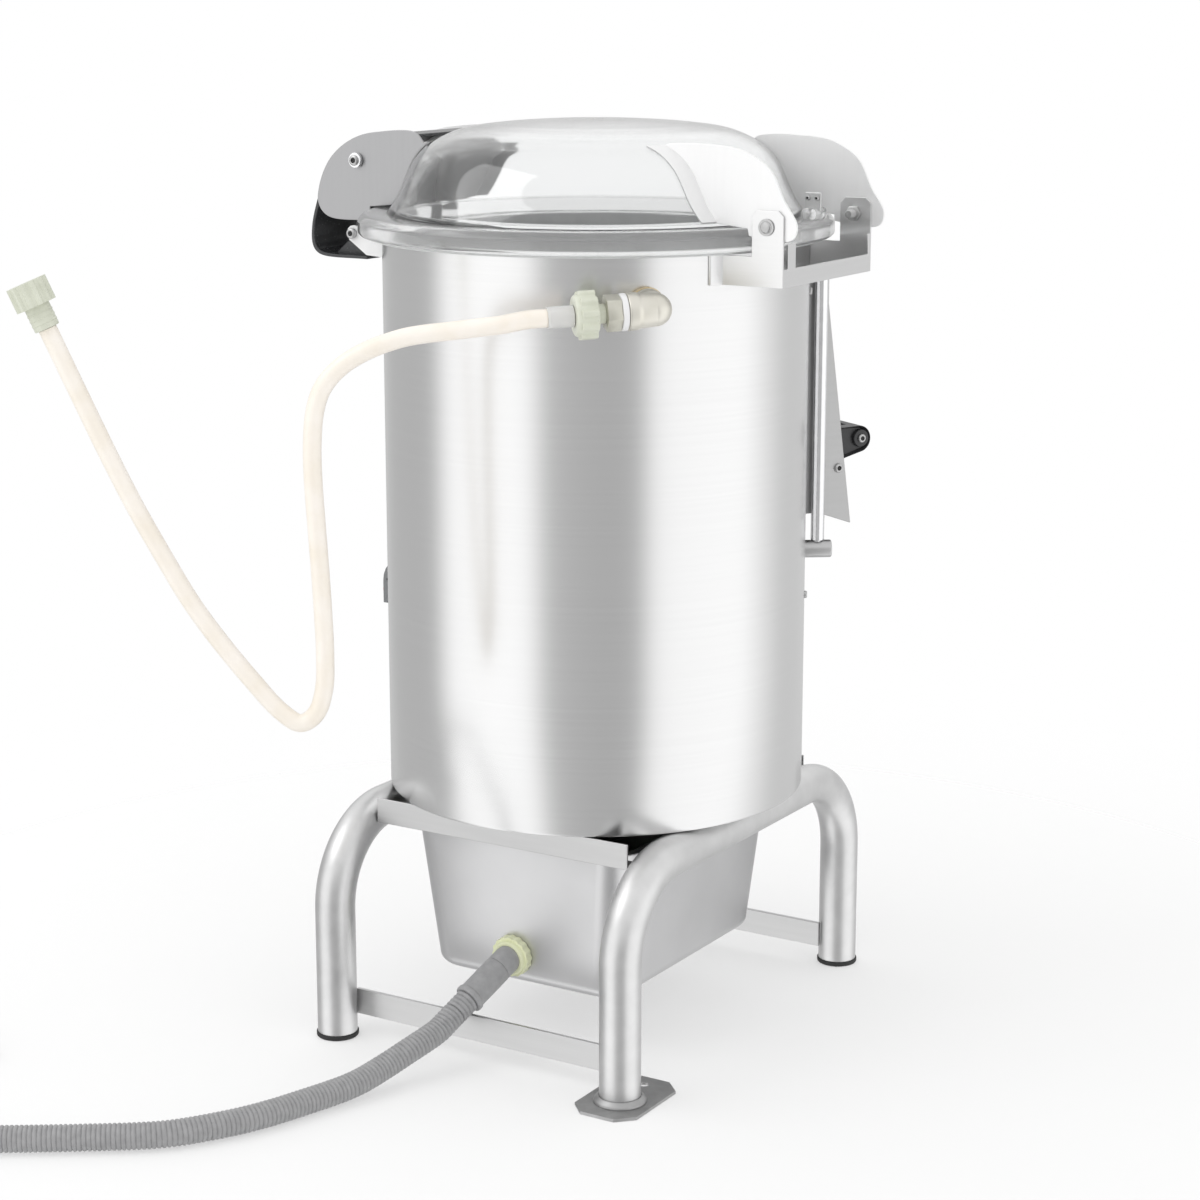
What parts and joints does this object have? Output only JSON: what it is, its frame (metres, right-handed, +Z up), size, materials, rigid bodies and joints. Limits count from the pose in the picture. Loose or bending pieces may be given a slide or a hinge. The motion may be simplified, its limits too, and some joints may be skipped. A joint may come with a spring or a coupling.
{
  "type": "electric potato peeler",
  "caption": "Floor-standing commercial potato peeler: steel drum on a tube stand, clear latched lid, discharge door, waste tray, water inlet and drain hoses.",
  "frame": {"origin": "on the floor, under the middle of the machine's bounding box measured without its hoses", "axes": "+Z up, +X from the drum towards the lid hinge, -Y towards the side with the drain"},
  "size_m": [0.9658, 1.0234, 0.861],
  "materials": {
    "drum_steel": "satin",
    "tube_steel": "satin",
    "sheet_steel": "satin",
    "bolt_steel": "polished",
    "brass": "satin",
    "nickel": "satin",
    "clear_plastic": "clear gloss",
    "black_plastic": "fine matt",
    "grey_plastic": "matt",
    "black_rubber": "matt",
    "pale_green_plastic": "semi gloss",
    "hose_grey": "matt",
    "hose_cream": "semi gloss",
    "clear_sleeve": "clear gloss",
    "white_rubber": "matt",
    "abrasive": "rough",
    "abrasive_lining": "rough",
    "cast_iron": "cast",
    "motor_paint": "satin paint",
    "green_cap": "gloss",
    "red_cap": "gloss",
    "yellow_green_nut": "semi gloss"
  },
  "bodies": {
    "frame": {"stand_arch_left": "tube_steel", "stand_arch_right": "tube_steel", "tray_rail_near": "sheet_steel", "lower_bar_near": "sheet_steel", "tray_rail_far": "sheet_steel", "lower_bar_far": "sheet_steel", "foot_left_near": "black_rubber", "foot_left_far": "black_rubber", "foot_right_far": "black_rubber", "floor_plate": "sheet_steel", "waste_tray": "sheet_steel", "drain_outlet": "yellow_green_nut", "drain_cuff": "hose_grey", "drain_hose": "hose_grey", "drain_end_cuff": "hose_grey", "drum_shell": "drum_steel", "base_plate": "sheet_steel", "lid_seal": "white_rubber", "chamber_floor": "sheet_steel", "abrasive_liner": "abrasive_lining", "waste_spout": "grey_plastic", "bearing_housing": "cast_iron", "upper_bearing": "bolt_steel", "lower_bearing": "bolt_steel", "motor": "motor_paint", "v_belt": "black_rubber", "inlet_bush": "brass", "inlet_elbow": "nickel", "inlet_nipple": "nickel", "union_nut": "pale_green_plastic", "hose_sleeve": "clear_sleeve", "inlet_hose": "hose_cream", "tap_connector": "pale_green_plastic", "catch_lug_near": "sheet_steel", "catch_lug_far": "sheet_steel", "catch_pin": "bolt_steel", "hinge_bracket": "sheet_steel", "hinge_bolt_near": "bolt_steel", "hinge_bolt_far": "bolt_steel", "rod_stub_lower": "sheet_steel", "rod_stub_upper": "sheet_steel", "control_box": "grey_plastic"},
    "lid": {"lid_dome": "clear_plastic", "hinge_plate_near": "sheet_steel", "hinge_plate_far": "sheet_steel", "latch_plate_near": "sheet_steel", "latch_plate_far": "sheet_steel", "latch_cover": "black_plastic", "latch_pivot_pin": "bolt_steel"},
    "latch": {"latch_handle": "black_plastic"},
    "door": {"door_chute": "sheet_steel", "door_handle": "black_plastic", "hinge_rod": "bolt_steel"},
    "rotor": {"peeling_plate": "abrasive", "drive_shaft": "bolt_steel", "driven_pulley": "cast_iron"},
    "motor_drive": {"motor_pulley": "cast_iron"},
    "start": {"start_button": "green_cap"},
    "stop": {"stop_button": "red_cap"},
    "timer": {"timer_knob": "black_plastic"}
  },
  "joints": [
    {"name": "lid_hinge", "type": "hinge", "parent": "frame", "child": "lid", "pos_m": [0.24147, -0.00548, 0.7775], "axis": [0, 1, 0], "range_deg": [0, 100]},
    {"name": "latch_pivot", "type": "hinge", "parent": "lid", "child": "latch", "pos_m": [-0.21152, -0.00548, 0.8184], "axis": [0, 1, 0], "range_deg": [0, 45]},
    {"name": "door_swing", "type": "hinge", "parent": "frame", "child": "door", "pos_m": [0.1882, 0.12001, 0.451], "axis": [0, 0, 1], "range_deg": [-110, 0]},
    {"name": "plate_spin", "type": "hinge", "parent": "frame", "child": "rotor", "pos_m": [0.01547, -0.00548, 0.362], "axis": [0, 0, 1], "continuous": true},
    {"name": "motor_spin", "type": "hinge", "parent": "frame", "child": "motor_drive", "pos_m": [-0.06372, 0.07371, 0.362], "axis": [0, 0, 1], "continuous": true},
    {"name": "start_press", "type": "slide", "parent": "frame", "child": "start", "axis": [1, 0, 0], "range_m": [0, 0.0025], "stiffness_N_per_m": 300},
    {"name": "stop_press", "type": "slide", "parent": "frame", "child": "stop", "axis": [1, 0, 0], "range_m": [0, 0.0025], "stiffness_N_per_m": 300},
    {"name": "timer_turn", "type": "hinge", "parent": "frame", "child": "timer", "pos_m": [-0.20952, 0.01652, 0.394], "axis": [-1, 0, 0], "range_deg": [0, 300]}
  ],
  "couplings": [
    {"joint": "motor_spin", "follows": "plate_spin", "ratio": 2.8077}
  ]
}
